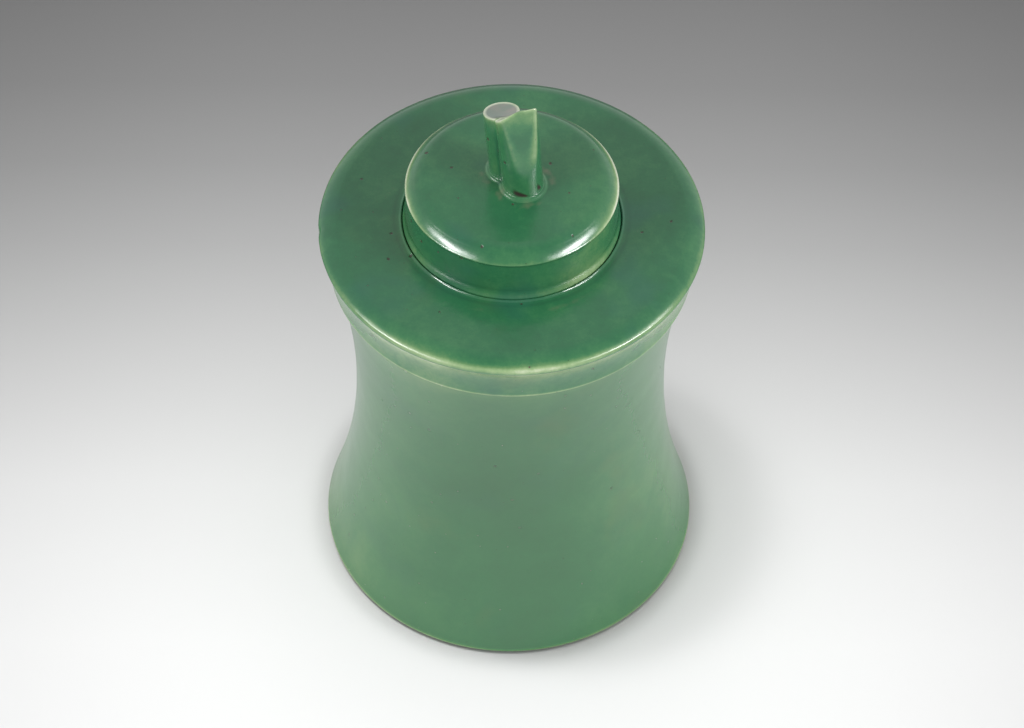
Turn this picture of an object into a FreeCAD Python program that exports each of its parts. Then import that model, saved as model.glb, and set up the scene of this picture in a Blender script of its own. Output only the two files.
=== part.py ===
import FreeCAD
import Part

import math
import os

# Lidded ceramic inkwell: a waisted hollow body that carries a flat overhanging top, a loose cup
# for the ink that hangs in the mouth, and a loose cap lid with a knob of two cut stems.
#
# Units are millimetres.  Z is up, the origin is the centre of the foot on the table, and -Y is
# the front.  Each round piece is one outline in the (radius, height) plane, turned about Z.

Vector = FreeCAD.Vector
UP = Vector(0, 0, 1)

# ---- body -----------------------------------------------------------------------------------
BASE_R = 36.8           # widest radius, just above the table
BASE_ROUND = 0.7
WAIST_R = 29.5          # narrowest radius
WAIST_Z = 46.0
NECK_R = 32.45          # radius under the ridge
WALL = 4.0              # thrown wall
FLOOR_R = 31.4          # floor disc, luted into the foot
FLOOR_Z = 2.2           # its underside stands clear of the table
FLOOR = 5.0

# ---- flat top -------------------------------------------------------------------------------
RIDGE_R = 33.0          # lower edge of the top's skirt
RIDGE_Z = 76.7          # joint between the body and the top
SKIRT_R = 32.6          # foot of the nearly straight skirt, just above the ridge
SKIRT_Z = 77.75
LIP_R = 35.0            # outermost radius
LIP_Z = 85.0
LIP_ROUND = 2.0         # the lip's nose is this far below the flat
TOP_Z = 87.0            # flat top beside the lip
PLATE = 4.4

# ---- seat of the lid, and the mouth -----------------------------------------------------------
SEAT_R = 19.95          # shallow rebate that the lid stands in
SEAT_Z = 86.5
ROLL_R = 20.7           # crest of the soft roll round the rebate
ROLL_Z = 87.4
COLLAR_R = 18.6         # mouth collar, luted into the flat top
COLLAR_BOTTOM_Z = 78.4
MOUTH_R = 16.4
LEDGE_R = 14.0          # bore below the ledge that carries the ink cup
LEDGE_Z = 82.0

# ---- ink cup --------------------------------------------------------------------------------
CUP_RIM_R = 16.05
CUP_RIM_H = 2.0
CUP_R = 13.6
CUP_FOOT_R = 12.4
CUP_WALL = 1.9
CUP_FLOOR = 2.3
CUP_BOTTOM_Z = 46.0

# ---- lid ------------------------------------------------------------------------------------
LID_FOOT_R = 19.68
LID_EDGE_R = 19.0       # crisp edge between the lid's wall and its shoulder
LID_EDGE_Z = 95.1
CROWN_Z = 98.0          # top of the lid at its centre
LID_WALL_R_IN = 16.1
LID_SHELL = 3.3
RING_R_IN = 13.3        # locating ring, luted inside the lid's wall
RING_TOP_Z = 91.5
RING_BOTTOM_Z = 84.4

# ---- knob, heights measured from the crown ----------------------------------------------------
STEM_ROOT = -1.7        # the stems start inside the lid's shell, which trims them
STEM_END = 24.0         # uncut length
ROOT_FLARE = 0.8        # the clay worked out round the root of each stem
ROOT_RISE = 1.1
MAIN_R = 3.68
MAIN_ROOT = (1.95, -2.20)
MAIN_LEAN = (-0.082, 0.058)             # sideways run for each millimetre of height
MAIN_CUTS = (                           # (height on the axis, slope of the cut along X and Y)
    (17.5, 0.83, -0.68),
    (16.15, 0.32, -1.87),
    (33.6, -1.19, 4.78),                # long steep facet pared off the front
)
SIDE_R = 3.25
SIDE_ROOT = (-0.85, 1.45)
SIDE_LEAN = (-0.076, -0.004)
SIDE_CUTS = (
    (14.4, 0.10, -0.34),
)
CUT_BLOCK = 80.0        # block that takes the end off a stem


class Outline:
    """A closed outline in the (radius, height) plane, drawn edge by edge."""

    def __init__(self, r, z):
        self.start = Vector(r, 0, z)
        self.here = self.start
        self.edges = []

    def line(self, r, z):
        end = Vector(r, 0, z)
        self.edges.append(Part.LineSegment(self.here, end).toShape())
        self.here = end
        return self

    def arc(self, r_mid, z_mid, r, z):
        """The arc of a circle from here, through a middle point, to (r, z)."""
        end = Vector(r, 0, z)
        self.edges.append(Part.Arc(self.here, Vector(r_mid, 0, z_mid), end).toShape())
        self.here = end
        return self

    def corner(self, centre_r, centre_z, r, z):
        """A quarter turn about a centre, from here to (r, z)."""
        centre = Vector(centre_r, 0, centre_z)
        radius = (self.here - centre).Length
        middle = self.here + Vector(r, 0, z) - centre * 2
        middle = centre + middle.normalize() * radius
        return self.arc(middle.x, middle.z, r, z)

    def dome(self, z):
        """A spherical cap, from here up to height z on the axis."""
        rise = z - self.here.z
        sphere = (self.here.x ** 2 + rise ** 2) / (2 * rise)
        r_mid = self.here.x / 2
        z_mid = z - sphere + math.sqrt(sphere ** 2 - r_mid ** 2)
        return self.arc(r_mid, z_mid, 0, z)

    def turned(self):
        """The solid that the outline sweeps in one turn about Z."""
        if (self.here - self.start).Length > 1e-6:
            self.line(self.start.x, self.start.z)
        face = Part.Face(Part.Wire(self.edges))
        return face.revolve(Vector(0, 0, 0), UP, 360)


def body_wall():
    """Thrown wall: one long waisted curve outside and one inside, on a thick bare foot."""
    outline = Outline(FLOOR_R, 0)
    outline.line(BASE_R - BASE_ROUND, 0)
    outline.corner(BASE_R - BASE_ROUND, BASE_ROUND, BASE_R, BASE_ROUND)
    outline.arc(WAIST_R, WAIST_Z, NECK_R, RIDGE_Z)
    outline.line(NECK_R - WALL, RIDGE_Z)
    outline.arc(WAIST_R - WALL, WAIST_Z, FLOOR_R, FLOOR_Z + FLOOR)
    return outline.turned()


def body_floor():
    """Disc luted into the foot, with its lower edge broken."""
    broken = 0.6
    outline = Outline(0, FLOOR_Z)
    outline.line(FLOOR_R - broken, FLOOR_Z)
    outline.line(FLOOR_R, FLOOR_Z + broken)
    outline.line(FLOOR_R, FLOOR_Z + FLOOR)
    outline.line(0, FLOOR_Z + FLOOR)
    return outline.turned()


def shoulder_plate():
    """Flat top: rounded lip, flared skirt down to the ridge, and the rebate for the lid."""
    nose = 0.45
    underside_z = TOP_Z - PLATE
    inner_r = NECK_R - WALL
    inner_round = 3.0
    outline = Outline(inner_r, RIDGE_Z)
    outline.line(RIDGE_R - nose, RIDGE_Z)
    outline.arc(RIDGE_R, RIDGE_Z + nose, RIDGE_R - nose / 3, RIDGE_Z + 1.7 * nose)
    outline.line(SKIRT_R, SKIRT_Z)
    outline.arc(SKIRT_R + 0.5, SKIRT_Z + 3.15, LIP_R - 0.65, LIP_Z - LIP_ROUND / 2)
    outline.arc(LIP_R, LIP_Z + 0.25, LIP_R - 0.7 * LIP_ROUND, TOP_Z)
    outline.line(ROLL_R + 2.0, TOP_Z + 0.12)
    outline.arc(ROLL_R, ROLL_Z, SEAT_R, ROLL_Z - 0.3)
    outline.line(SEAT_R, SEAT_Z)
    outline.line(COLLAR_R, SEAT_Z)
    outline.line(COLLAR_R, underside_z)
    outline.line(inner_r - inner_round, underside_z)
    outline.corner(inner_r - inner_round, underside_z - inner_round,
                   inner_r, underside_z - inner_round)
    return outline.turned()


def mouth_collar():
    """Collar luted into the flat top: it centres the lid and holds the cup on a ledge."""
    broken = 0.4
    outline = Outline(LEDGE_R, COLLAR_BOTTOM_Z)
    outline.line(COLLAR_R - 2 * broken, COLLAR_BOTTOM_Z)
    outline.line(COLLAR_R, COLLAR_BOTTOM_Z + 2 * broken)
    outline.line(COLLAR_R, SEAT_Z)
    outline.line(MOUTH_R + broken, SEAT_Z)
    outline.line(MOUTH_R, SEAT_Z - broken)
    outline.line(MOUTH_R, LEDGE_Z)
    outline.line(LEDGE_R, LEDGE_Z)
    return outline.turned()


def ink_cup():
    """Loose tapering cup that holds the ink, hung by its rim."""
    foot_round = 3.0
    rim_top = LEDGE_Z + CUP_RIM_H
    rim_round = 0.8
    mouth_r = CUP_R - CUP_WALL
    inner_foot_r = CUP_FOOT_R - CUP_WALL
    inner_floor_z = CUP_BOTTOM_Z + CUP_FLOOR
    outline = Outline(0, CUP_BOTTOM_Z)
    outline.line(CUP_FOOT_R - foot_round, CUP_BOTTOM_Z)
    outline.corner(CUP_FOOT_R - foot_round, CUP_BOTTOM_Z + foot_round,
                   CUP_FOOT_R, CUP_BOTTOM_Z + foot_round)
    outline.line(CUP_R, LEDGE_Z)
    outline.line(CUP_RIM_R, LEDGE_Z)
    outline.line(CUP_RIM_R, rim_top - rim_round)
    outline.corner(CUP_RIM_R - rim_round, rim_top - rim_round, CUP_RIM_R - rim_round, rim_top)
    outline.line(mouth_r + rim_round, rim_top)
    outline.corner(mouth_r + rim_round, rim_top - rim_round, mouth_r, rim_top - rim_round)
    outline.line(inner_foot_r, inner_floor_z + foot_round)
    outline.corner(inner_foot_r - foot_round, inner_floor_z + foot_round,
                   inner_foot_r - foot_round, inner_floor_z)
    outline.line(0, inner_floor_z)
    return outline.turned()


def lid_cap():
    """Hollow cap: slightly flared wall, crisp edge, soft shoulder, barely domed crown."""
    foot_round = 0.5
    shoulder = 1.4          # width of the steeper part of the shoulder
    shoulder_rise = 1.5
    dome_r = 15.6           # the shoulder has turned into the crown here
    dome_rise = 0.48
    ceiling_z = CROWN_Z - LID_SHELL
    inner_round = 2.0
    outline = Outline(LID_WALL_R_IN, SEAT_Z)
    outline.line(LID_FOOT_R - foot_round, SEAT_Z)
    outline.corner(LID_FOOT_R - foot_round, SEAT_Z + foot_round, LID_FOOT_R, SEAT_Z + foot_round)
    outline.arc(LID_EDGE_R + 0.05, TOP_Z + 4.0, LID_EDGE_R, LID_EDGE_Z)
    outline.arc(LID_EDGE_R - shoulder / 2, LID_EDGE_Z + 0.88,
                LID_EDGE_R - shoulder, LID_EDGE_Z + shoulder_rise)
    outline.arc((LID_EDGE_R - shoulder + dome_r) / 2 - 0.05, LID_EDGE_Z + 2.13,
                dome_r, CROWN_Z - dome_rise)
    outline.dome(CROWN_Z)
    outline.line(0, ceiling_z)
    outline.line(LID_WALL_R_IN - inner_round, ceiling_z)
    outline.corner(LID_WALL_R_IN - inner_round, ceiling_z - inner_round,
                   LID_WALL_R_IN, ceiling_z - inner_round)
    return outline.turned()


def lid_locating_ring():
    """Ring luted inside the lid's wall; it drops into the mouth and keeps the lid centred."""
    broken = 0.5
    outline = Outline(RING_R_IN + broken, RING_BOTTOM_Z)
    outline.line(LID_WALL_R_IN - broken, RING_BOTTOM_Z)
    outline.line(LID_WALL_R_IN, RING_BOTTOM_Z + broken)
    outline.line(LID_WALL_R_IN, RING_TOP_Z)
    outline.line(RING_R_IN, RING_TOP_Z)
    outline.line(RING_R_IN, RING_BOTTOM_Z + broken)
    return outline.turned()


def stem(root, lean, radius, cuts):
    """A leaning round stem with a flared root and an end taken off by slanting cuts."""
    rings = []
    for height in (STEM_ROOT, STEM_END):
        centre = Vector(root[0] + lean[0] * height, root[1] + lean[1] * height, CROWN_Z + height)
        rings.append(Part.Wire(Part.Circle(centre, UP, radius).toShape()))
    shaft = Part.makeLoft(rings, True, True)

    flare = Outline(0, STEM_ROOT)
    flare.line(radius + ROOT_FLARE, STEM_ROOT)
    flare.line(radius + ROOT_FLARE, -0.1)
    flare.arc(radius + 0.3 * ROOT_FLARE, 0.3 * ROOT_RISE, radius - 0.05, ROOT_RISE)
    flare.line(0, ROOT_RISE)
    foot = flare.turned()
    foot.translate(Vector(root[0], root[1], CROWN_Z))
    shape = shaft.fuse(foot)

    for height, slope_x, slope_y in cuts:
        centre = Vector(root[0] + lean[0] * height, root[1] + lean[1] * height, CROWN_Z + height)
        half = CUT_BLOCK / 2
        block = Part.makeBox(CUT_BLOCK, CUT_BLOCK, CUT_BLOCK, Vector(-half, -half, 0))
        tilt = FreeCAD.Rotation(UP, Vector(-slope_x, -slope_y, 1))
        block.Placement = FreeCAD.Placement(centre, tilt)
        shape = shape.cut(block)
    return shape


def largest(shape):
    """The biggest solid of a shape, without the slivers that trimming can leave."""
    return max(shape.Solids, key=lambda solid: solid.Volume)


def main():
    os.makedirs("parts", exist_ok=True)
    cap = lid_cap()
    main_stem = stem(MAIN_ROOT, MAIN_LEAN, MAIN_R, MAIN_CUTS).cut(cap)
    side_stem = stem(SIDE_ROOT, SIDE_LEAN, SIDE_R, SIDE_CUTS).cut(cap).cut(main_stem)
    nodes = {
        "body_wall": body_wall(),
        "body_floor": body_floor(),
        "shoulder_plate": shoulder_plate(),
        "mouth_collar": mouth_collar(),
        "ink_cup": ink_cup(),
        "lid_cap": cap,
        "lid_locating_ring": lid_locating_ring(),
        "knob_main_stem": largest(main_stem),
        "knob_side_stem": largest(side_stem),
    }
    for name, shape in nodes.items():
        shape.exportStep(os.path.join("parts", name + ".step"))
        print("%-18s solids %d  valid %s  volume %.1f mm3" % (
            name, len(shape.Solids), shape.isValid(), shape.Volume))


main()
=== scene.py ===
import math

import bpy
import numpy as np
from mathutils import Matrix, Vector


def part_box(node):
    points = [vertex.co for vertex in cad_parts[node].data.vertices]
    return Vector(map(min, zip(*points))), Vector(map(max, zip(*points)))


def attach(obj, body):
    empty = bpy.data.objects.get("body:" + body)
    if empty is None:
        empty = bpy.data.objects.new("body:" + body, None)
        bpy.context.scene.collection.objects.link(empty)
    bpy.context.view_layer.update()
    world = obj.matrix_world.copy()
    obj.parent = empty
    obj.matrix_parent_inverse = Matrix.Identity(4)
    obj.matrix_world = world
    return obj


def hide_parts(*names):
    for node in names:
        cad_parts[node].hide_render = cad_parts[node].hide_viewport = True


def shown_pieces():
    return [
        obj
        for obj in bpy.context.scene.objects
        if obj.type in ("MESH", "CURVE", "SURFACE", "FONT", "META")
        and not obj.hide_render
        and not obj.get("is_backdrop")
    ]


# A lidded ceramic inkwell under a thick green glaze.  Every visible piece is a fine mesh made
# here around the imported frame: the round ones are turned from an outline, with the small faults
# of hand work, and the knob is grown from a distance field so that its stems melt together.
# Outlines and the knob are worked out in millimetres and scaled to metres when a mesh is made.

MM = 0.001
TURN = 2 * math.pi
# Two points in mm nearer than this are one; TINY keeps a division from failing.
SAME = 1e-6
TINY = 1e-9

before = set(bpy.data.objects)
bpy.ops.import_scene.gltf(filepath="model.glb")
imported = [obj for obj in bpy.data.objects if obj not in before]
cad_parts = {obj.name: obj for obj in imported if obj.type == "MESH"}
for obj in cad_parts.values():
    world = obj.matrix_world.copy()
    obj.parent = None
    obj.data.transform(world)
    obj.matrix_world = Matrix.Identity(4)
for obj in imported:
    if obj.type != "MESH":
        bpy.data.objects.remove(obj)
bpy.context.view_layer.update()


def reach(node):
    """(radius, lowest height, highest height) of a CAD node, in millimetres."""
    low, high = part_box(node)
    return high.x / MM, low.z / MM, high.z / MM


# Sizes of the CAD pieces that the visible ones are drawn around.
BASE_R, _, RIDGE_Z = reach("body_wall")
FLOOR_R, FLOOR_Z, FLOOR_TOP_Z = reach("body_floor")
LIP_R, _, ROLL_Z = reach("shoulder_plate")
COLLAR_R, COLLAR_BOTTOM_Z, SEAT_Z = reach("mouth_collar")
CUP_RIM_R, CUP_BOTTOM_Z, CUP_TOP_Z = reach("ink_cup")
LID_FOOT_R, _, CROWN_Z = reach("lid_cap")
RING_R, RING_BOTTOM_Z, RING_TOP_Z = reach("lid_locating_ring")

# The wall's top, which the shoulder plate stands on, and the thickness of the wall.
NECK_R = 0.8818 * BASE_R
WALL = 4.0
# The flat top, a little below the roll round the lid's rebate.
TOP_Z = ROLL_Z - 0.45
# The underside of the cup's rim, and the ledge it hangs on.
LEDGE_Z = CUP_TOP_Z - 2.0

# The lid's crown: a shallow sphere inside its shoulder.
LID_SAG = 0.45
LID_DOME_R = LID_FOOT_R - 3.88
LID_SPHERE = (LID_DOME_R ** 2 + LID_SAG ** 2) / (2 * LID_SAG)


# ---- small helpers ----------------------------------------------------------------------------

def unit(value):
    """Held between 0 and 1."""
    return np.clip(value, 0, 1)


def bell(distance, width):
    """1 at no distance, falling smoothly to almost 0 at twice the width."""
    return np.exp(-(distance / width) ** 2)


def flat(r, angle):
    """(x, y) of a point at a radius; the angle goes from the front (-Y) towards +X."""
    return r * np.sin(angle), -r * np.cos(angle)


def waves(x, y, z, size, seed, octaves=3):
    """Smooth made-up unevenness, about -1 to 1, from crossing waves of a given size in mm."""
    crossing, finer, weaker, highest = 5, 0.47, 0.5, 5.5
    rng = np.random.default_rng(seed)
    total = np.zeros(np.broadcast(x, y, z).shape)
    weight = 1.0
    for _ in range(octaves):
        for _ in range(crossing):
            direction = rng.normal(size=3)
            direction *= TURN / size / np.linalg.norm(direction)
            phase = rng.uniform(0, TURN)
            total += weight * np.sin(direction[0] * x + direction[1] * y + direction[2] * z + phase)
        size *= finer
        weight *= weaker
    return total / highest


# ---- outlines ---------------------------------------------------------------------------------

class Outline:
    """A closed outline in the (radius, height) plane, sampled at a chosen spacing."""

    def __init__(self, r, z, step=0.6):
        self.points = [(r, z)]
        self.step = step

    def line(self, r, z, step=None):
        """A straight line from here to (r, z)."""
        r0, z0 = self.points[-1]
        length = math.hypot(r - r0, z - z0)
        count = max(1, round(length / (step or self.step)))
        for i in range(1, count + 1):
            t = i / count
            self.points.append((r0 + (r - r0) * t, z0 + (z - z0) * t))

    def arc(self, r_mid, z_mid, r, z, step=None):
        """The arc of a circle from here, through a middle point, to (r, z)."""
        a = Vector(self.points[-1])
        b = Vector((r_mid, z_mid))
        c = Vector((r, z))
        d = 2 * (a.x * (b.y - c.y) + b.x * (c.y - a.y) + c.x * (a.y - b.y))
        ux = (a.length_squared * (b.y - c.y) + b.length_squared * (c.y - a.y)
              + c.length_squared * (a.y - b.y)) / d
        uy = (a.length_squared * (c.x - b.x) + b.length_squared * (a.x - c.x)
              + c.length_squared * (b.x - a.x)) / d
        centre = Vector((ux, uy))
        radius = (a - centre).length
        start = math.atan2(a.y - uy, a.x - ux)
        middle = math.atan2(b.y - uy, b.x - ux)
        end = math.atan2(c.y - uy, c.x - ux)
        sweep = (end - start) % TURN
        if (middle - start) % TURN > sweep:
            sweep -= TURN
        count = max(2, round(abs(sweep) * radius / (step or self.step)))
        for i in range(1, count + 1):
            angle = start + sweep * i / count
            self.points.append((ux + radius * math.cos(angle), uy + radius * math.sin(angle)))

    def corner(self, centre_r, centre_z, r, z, step=0.12):
        """A quarter turn about a centre, from here to (r, z)."""
        r0, z0 = self.points[-1]
        radius = math.hypot(r0 - centre_r, z0 - centre_z)
        middle = Vector((r0 + r - 2 * centre_r, z0 + z - 2 * centre_z)).normalized() * radius
        self.arc(centre_r + middle.x, centre_z + middle.y, r, z, step)


# Spacing in mm at which an outline's bends are measured.
FINE = 0.05


def is_closed(p):
    """Whether an outline ends where it began."""
    return bool(np.hypot(*(p[0] - p[-1])) < SAME)


def bend_of(points, reach_mm):
    """How far each point of an outline stands proud (+) or lies in a hollow (-), from -1 to 1."""
    p = np.array(points)
    closed = is_closed(p)
    if closed:
        p = p[:-1]
    steps = np.hypot(*(np.roll(p, -1, 0) - p).T)
    place_on = np.concatenate([[0], np.cumsum(steps)[:-1]])
    total = steps.sum()
    fine = np.arange(0, total, FINE)
    spread = int(4 * reach_mm / FINE)
    kernel = np.exp(-0.5 * (np.arange(-spread, spread + 1) * FINE / reach_mm) ** 2)
    kernel /= kernel.sum()
    exact, soft = [], []
    for along in p.T:
        even = np.interp(fine, np.append(place_on, total), np.append(along, along[0]))
        exact.append(even)
        soft.append(np.convolve(np.tile(even, 3), kernel, "same")[len(even):2 * len(even)])
    out_r, out_z = np.gradient(soft[1]), -np.gradient(soft[0])
    size = np.hypot(out_r, out_z) + TINY
    off_r, off_z = exact[0] - soft[0], exact[1] - soft[1]
    proud = (off_r * out_r + off_z * out_z) / size / reach_mm
    bend = np.interp(place_on, fine, proud)
    return np.append(bend, bend[0]) if closed else bend


# ---- turned pieces ----------------------------------------------------------------------------

SEGMENTS = 240
# How wide in mm the glaze thins beside an edge, and how strongly.
EDGE_REACH = 0.8
EDGE_GAIN = 2.2


def turned(name, outline, node, body, material, warp=None, marks=None, segments=SEGMENTS):
    """Turn an outline about Z.  warp(r, z, angle) gives what to add to r and z; marks(r, z, angle,
    proud) gives the piece's painted values, such as glaze thinned over edges or pooled, and painted
    light and shade."""
    p = np.array(outline.points)
    proud = np.clip(bend_of(outline.points, EDGE_REACH) * EDGE_GAIN, -1, 1)
    if is_closed(p):
        p, proud = p[:-1], proud[:-1]
    r, angle = np.meshgrid(p[:, 0], np.arange(segments) * TURN / segments, indexing="ij")
    z = np.repeat(p[:, 1:], segments, 1)
    proud = np.repeat(proud[:, None], segments, 1)
    on_axis = p[:, 0] < SAME
    if warp:
        dr, dz = warp(r, z, angle)
        r = np.where(on_axis[:, None], 0, r + dr)
        z = np.where(on_axis[:, None], z, z + dz)
    index = np.arange(r.size).reshape(r.shape)
    index[on_axis] = index[on_axis, :1]
    after = np.roll(index, -1, 0)
    rows = slice(0, -1) if on_axis[0] and on_axis[-1] else slice(None)
    a, b = index[rows], after[rows]
    quads = np.stack([a, np.roll(a, -1, 1), np.roll(b, -1, 1), b], -1).reshape(-1, 4)
    faces = [tuple(dict.fromkeys(quad)) for quad in quads.tolist()]
    points = np.stack([*flat(r, angle), z], -1).reshape(-1, 3)
    values = {"thin": unit(proud), "pool": unit(-proud)}
    if marks:
        values.update(marks(r, z, angle, proud))
    return place(name, points, faces, values, (node,), body, material)


def place(name, points, faces, values, nodes, body, material):
    """Make a smooth mesh with painted values, on its body, standing for its CAD nodes."""
    used = np.unique(np.fromiter((v for face in faces for v in face), int))
    renumber = np.zeros(len(points), int)
    renumber[used] = np.arange(len(used))
    mesh = bpy.data.meshes.new(name)
    mesh.from_pydata(points[used] * MM, [], [[int(renumber[v]) for v in face] for face in faces])
    mesh.validate()
    mesh.polygons.foreach_set("use_smooth", [True] * len(mesh.polygons))
    for label, grid in values.items():
        row = np.ascontiguousarray(grid.reshape(-1)[used], dtype=np.float32)
        mesh.attributes.new(label, "FLOAT", "POINT").data.foreach_set("value", row)
    mesh.materials.append(material)
    piece = bpy.data.objects.new(name, mesh)
    bpy.context.scene.collection.objects.link(piece)
    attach(piece, body)
    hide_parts(*nodes)
    return piece


def hand_thrown(amount, size, seed, rings=0.0, pitch=4.3):
    """A warp: slow unevenness, and the faint spiral that the potter's fingers leave."""
    def warp(r, z, angle):
        x, y = flat(r, angle)
        uneven = amount * waves(x, y, z, size, seed)
        spiral = rings * np.sin(TURN * z / pitch + angle + 0.8 * waves(x, y, z, 30, seed + 1, 1))
        return uneven + spiral, 0.35 * uneven
    return warp


# Broad curtains of thicker glaze down the wall, the one at the front being painted shade: middle
# and half width in degrees, and amount.
RUNS_AND_FRONT_SHADE = ((2, 30, 0.45), (118, 22, 0.25), (196, 34, 0.40), (282, 18, 0.20))


def body_wall():
    """Waisted wall on its bare foot."""
    waist_r, waist_z = 0.8016 * BASE_R, 0.6 * RIDGE_Z
    foot_z, foot_in = 0.62, FLOOR_R + 0.35
    outline = Outline(foot_in, 0)
    outline.line(BASE_R - 4.0, 0)
    outline.line(BASE_R - 3.4, foot_z, 0.2)
    outline.line(BASE_R - 0.44, foot_z, 0.2)
    outline.arc(BASE_R - 0.14, foot_z + 0.10, BASE_R - 0.03, foot_z + 0.43, 0.08)
    outline.arc(waist_r, waist_z, NECK_R, RIDGE_Z)
    outline.line(NECK_R - WALL, RIDGE_Z)
    outline.arc(waist_r - WALL, waist_z, FLOOR_R, FLOOR_TOP_Z)
    outline.line(FLOOR_R, 0.35)
    outline.line(foot_in, 0, 0.1)

    def marks(r, z, angle, proud):
        """Thin under the ridge and at the foot; paler on the flanks as a painted reflection; runs
        of thicker glaze, the one at the front painted shade.
        """
        under_ridge = np.exp(-(RIDGE_Z - z) / 3.6)
        # Runs of thicker glaze; the run at the front is painted shade.
        run = np.zeros_like(z)
        for middle, half, amount in RUNS_AND_FRONT_SHADE:
            off = (angle - math.radians(middle) + math.pi) % TURN - math.pi
            run += amount * bell(off, math.radians(half))
        run *= unit((RIDGE_Z - z) / 16)
        foot = bell(z - 0.9, 0.35) * (r > FLOOR_R + 3)
        low = unit((34 - z) / 24)
        # Paler on the flanks: a painted reflection of the pale floor.
        flank_reflection = np.sin(angle) ** 2 * (0.10 + 0.13 * low)
        return {"thin": unit(0.44 * under_ridge + 0.60 * foot + flank_reflection), "pool": run,
                "quiet": np.ones_like(z)}

    slow = hand_thrown(0.10, 46, 11, rings=0.004, pitch=6.5)

    def warp(r, z, angle):
        """Only sideways, and dying out at the foot and at the joint with the top."""
        dr, _ = slow(r, z, angle)
        return dr * unit(z / 6) * unit((RIDGE_Z - z) / 5), 0

    return turned("body_wall_glazed", outline, "body_wall", "pot", GREEN,
                  warp, marks)


def body_floor():
    """Disc in the foot, seen from below and from inside."""
    outline = Outline(0, FLOOR_Z)
    outline.line(FLOOR_R - 0.6, FLOOR_Z, 1.2)
    outline.line(FLOOR_R, FLOOR_Z + 0.6, 0.2)
    outline.line(FLOOR_R, FLOOR_TOP_Z)
    outline.line(0, FLOOR_TOP_Z, 1.2)
    return turned("body_floor_disc", outline, "body_floor", "pot", CLAY,
                  segments=160)


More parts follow.
